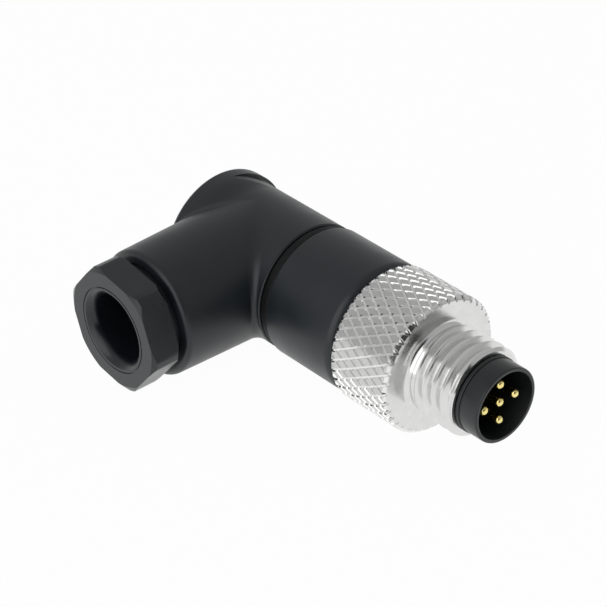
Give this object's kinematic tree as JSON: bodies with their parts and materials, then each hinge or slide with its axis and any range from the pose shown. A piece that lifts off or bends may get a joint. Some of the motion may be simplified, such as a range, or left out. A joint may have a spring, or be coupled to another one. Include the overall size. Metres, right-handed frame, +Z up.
{
  "type": "angled m8 connector",
  "caption": "Right-angled M8 cable plug with a knurled metal coupling ring, gold pins in a round shell and a hexagonal cable gland.",
  "frame": {"origin": "on the mating axis, where the first full turn of the mating thread begins", "axes": "+X along the mating axis towards the mating part, -Y towards the cable, +Z up"},
  "size_m": [0.0347, 0.022, 0.012],
  "materials": {
    "housing": "black moulded polyamide, satin",
    "sleeve": "black moulded polyamide, satin",
    "nut": "black moulded polyamide, satin",
    "carrier": "black moulded plastic, satin",
    "insulator": "black moulded polyamide",
    "seal": "black rubber",
    "nickel": "nickel-plated brass, satin bright",
    "spring_steel": "plain spring steel",
    "gold": "gold-plated brass, bright"
  },
  "bodies": {
    "elbow": {"elbow_housing": "housing", "rear_cap": "housing", "rear_cap_seal": "seal", "housing_seal": "seal", "cable_seal": "seal", "thrust_washer": "insulator"},
    "insert": {"contact_carrier": "carrier", "pin_retainer": "insulator", "carrier_seal": "seal", "front_seal": "seal", "contact_pin_1": "gold", "contact_pin_2": "gold", "contact_pin_3": "gold", "contact_pin_4": "gold", "contact_pin_5": "gold"},
    "sleeve": {"front_sleeve": "sleeve", "snap_ring": "spring_steel"},
    "ring": {"coupling_ring": "nickel"},
    "cage": {"clamp_cage": "insulator"},
    "nut": {"gland_nut": "nut"}
  },
  "joints": [
    {"name": "insert_slide", "type": "slide", "parent": "elbow", "child": "insert", "axis": [1, 0, 0], "range_m": [0, 0.0043]},
    {"name": "sleeve_turn", "type": "hinge", "parent": "insert", "child": "sleeve", "pos_m": [-0.0115, 0, 0], "axis": [1, 0, 0], "range_deg": [0, 2064]},
    {"name": "ring_turn", "type": "hinge", "parent": "sleeve", "child": "ring", "pos_m": [0, 0, 0], "axis": [1, 0, 0], "continuous": true},
    {"name": "cage_slide", "type": "slide", "parent": "elbow", "child": "cage", "axis": [0, -1, 0], "range_m": [0, 0.0028]},
    {"name": "nut_turn", "type": "hinge", "parent": "cage", "child": "nut", "pos_m": [-0.0227, -0.0147, 0], "axis": [0, -1, 0], "range_deg": [0, 1344]}
  ],
  "couplings": [
    {"joint": "sleeve_turn", "follows": "insert_slide", "rad_per_m": 8377.6},
    {"joint": "nut_turn", "follows": "cage_slide", "rad_per_m": 8377.6}
  ]
}
